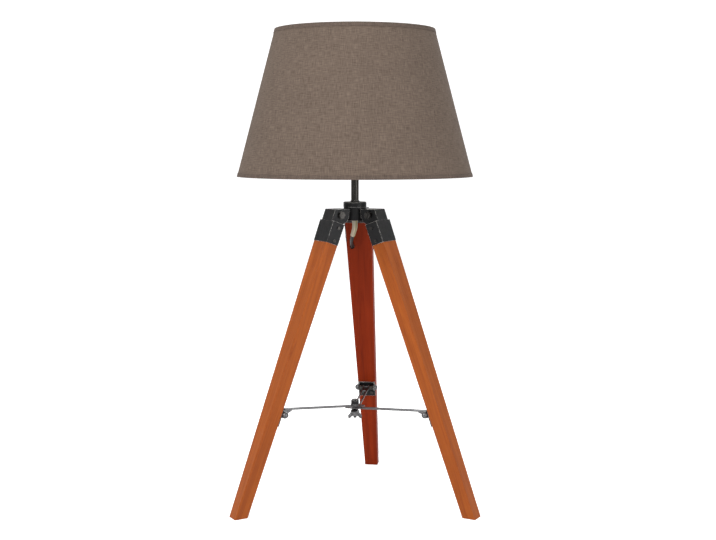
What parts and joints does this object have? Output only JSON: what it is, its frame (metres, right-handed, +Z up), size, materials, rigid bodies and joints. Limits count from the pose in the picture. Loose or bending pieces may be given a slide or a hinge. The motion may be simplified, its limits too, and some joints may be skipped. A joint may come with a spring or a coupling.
{
  "type": "tripod table lamp",
  "caption": "Table lamp with a tapered fabric shade on a folding tripod of tapered wooden legs, held apart by slotted straps, with an inline switch and plug.",
  "frame": {"origin": "on the table, under the axis of the stem and shade", "axes": "+Z up along the stem; the front of the lamp, between the left and right legs, faces -Y; the back leg stands towards +Y"},
  "size_m": [0.314, 0.5904, 0.606],
  "materials": {
    "fabric": "woven matte",
    "liner": "satin",
    "trim": "woven matte",
    "wood": "satin varnish",
    "black_metal": "satin black",
    "black_plastic": "satin",
    "dark_chrome": "polished dark",
    "steel": "zinc plated",
    "brass": "satin",
    "cream_plastic": "satin",
    "flex": "matte",
    "tie": "matte",
    "white_wire": "satin white",
    "porcelain": "glazed",
    "glass": "clear",
    "nickel": "nickel plated",
    "filament": "matte"
  },
  "bodies": {
    "root": {"hub_body": "black_metal", "hub_lid": "black_metal", "stem_tube": "dark_chrome", "stem_collar": "black_metal", "stem_lock_nut": "steel", "cord_sleeve": "cream_plastic", "stem_lead": "flex", "hinge_screws": "steel", "hinge_nuts": "steel", "holder_cap": "black_metal", "holder_shell": "black_plastic", "holder_insert": "porcelain", "socket_sleeve": "brass", "socket_contact": "brass", "flex_lead": "flex", "flex_runs": "flex", "flex_hank": "flex", "flex_tail": "flex", "hank_tie": "tie", "switch_case": "black_plastic", "switch_cover": "black_plastic", "plug_body": "black_plastic", "plug_pins": "nickel"},
    "shade": {"shade_fabric": "fabric", "shade_liner": "liner", "shade_top_ring": "white_wire", "shade_spider": "white_wire", "shade_trims": "trim"},
    "shade_ring_body": {"shade_ring": "black_plastic"},
    "bulb": {"bulb_glass": "glass", "bulb_cap": "nickel", "bulb_insulator": "porcelain", "bulb_contact": "nickel", "bulb_filaments": "filament"},
    "rocker": {"switch_rocker": "black_plastic"},
    "stretcher": {"stretcher_bolt": "steel", "stretcher_washers": "steel"},
    "wing": {"wing_nut": "steel"},
    "leg_left": {"leg_left_wood": "wood", "leg_left_cap": "black_metal", "leg_left_screws": "steel", "leg_left_bracket": "black_metal", "strap_left_pin": "steel", "strap_left_spacers": "brass"},
    "strap_left_body": {"strap_left": "steel"},
    "leg_right": {"leg_right_wood": "wood", "leg_right_cap": "black_metal", "leg_right_screws": "steel", "leg_right_bracket": "black_metal", "strap_right_pin": "steel", "strap_right_spacers": "brass"},
    "strap_right_body": {"strap_right": "steel"},
    "leg_back": {"leg_back_wood": "wood", "leg_back_cap": "black_metal", "leg_back_screws": "steel", "leg_back_bracket": "black_metal", "strap_back_pin": "steel", "strap_back_spacers": "brass"},
    "strap_back_body": {"strap_back": "steel"}
  },
  "joints": [
    {"name": "leg_left_fold", "type": "hinge", "parent": "root", "child": "leg_left", "pos_m": [-0.02382, -0.01375, 0.373], "axis": [0.5, -0.866, 0], "range_deg": [0, 17.5]},
    {"name": "leg_right_fold", "type": "hinge", "parent": "root", "child": "leg_right", "pos_m": [0.02382, -0.01375, 0.373], "axis": [0.5, 0.866, 0], "range_deg": [0, 17.5]},
    {"name": "leg_back_fold", "type": "hinge", "parent": "root", "child": "leg_back", "pos_m": [0.00407, 0.0272, 0.373], "axis": [-0.989, 0.1478, 0], "range_deg": [0, 17.5], "deforming": ["flex_lead"]},
    {"name": "strap_left_swing", "type": "hinge", "parent": "leg_left", "child": "strap_left_body", "pos_m": [-0.09307, -0.05373, 0.12483], "axis": [0.5, -0.866, 0], "range_deg": [-9, 0]},
    {"name": "strap_right_swing", "type": "hinge", "parent": "leg_right", "child": "strap_right_body", "pos_m": [0.09307, -0.05373, 0.12483], "axis": [0.5, 0.866, 0], "range_deg": [-9, 0]},
    {"name": "strap_back_swing", "type": "hinge", "parent": "leg_back", "child": "strap_back_body", "pos_m": [0.01588, 0.10629, 0.12483], "axis": [-0.989, 0.1478, 0], "range_deg": [-9, 0]},
    {"name": "stretcher_drop", "type": "slide", "parent": "root", "child": "stretcher", "axis": [0, 0, 1], "range_m": [-0.0025, 0]},
    {"name": "wing_nut_turn", "type": "hinge", "parent": "stretcher", "child": "wing", "pos_m": [0, 0, 0.112], "axis": [0, 0, 1], "continuous": true},
    {"name": "shade_turn", "type": "hinge", "parent": "root", "child": "shade", "pos_m": [0, 0, 0.4528], "axis": [0, 0, 1], "continuous": true},
    {"name": "shade_ring_turn", "type": "hinge", "parent": "root", "child": "shade_ring_body", "pos_m": [0, 0, 0.458], "axis": [0, 0, 1], "continuous": true},
    {"name": "bulb_unscrew", "type": "hinge", "parent": "root", "child": "bulb", "pos_m": [0, 0, 0.4535], "axis": [0, 0, 1], "continuous": true},
    {"name": "switch_rocker_tip", "type": "hinge", "parent": "root", "child": "rocker", "pos_m": [0.01294, 0.10014, 0.23597], "axis": [-0.989, 0.1478, 0], "range_deg": [-14, 0]}
  ],
  "couplings": [
    {"joint": "leg_right_fold", "follows": "leg_left_fold", "ratio": 1},
    {"joint": "leg_back_fold", "follows": "leg_left_fold", "ratio": 1},
    {"joint": "strap_left_swing", "follows": "leg_left_fold", "ratio": -0.49886},
    {"joint": "strap_right_swing", "follows": "leg_left_fold", "ratio": -0.49886},
    {"joint": "strap_back_swing", "follows": "leg_left_fold", "ratio": -0.49886},
    {"joint": "stretcher_drop", "follows": "leg_left_fold", "m_per_rad": -0.008101}
  ]
}
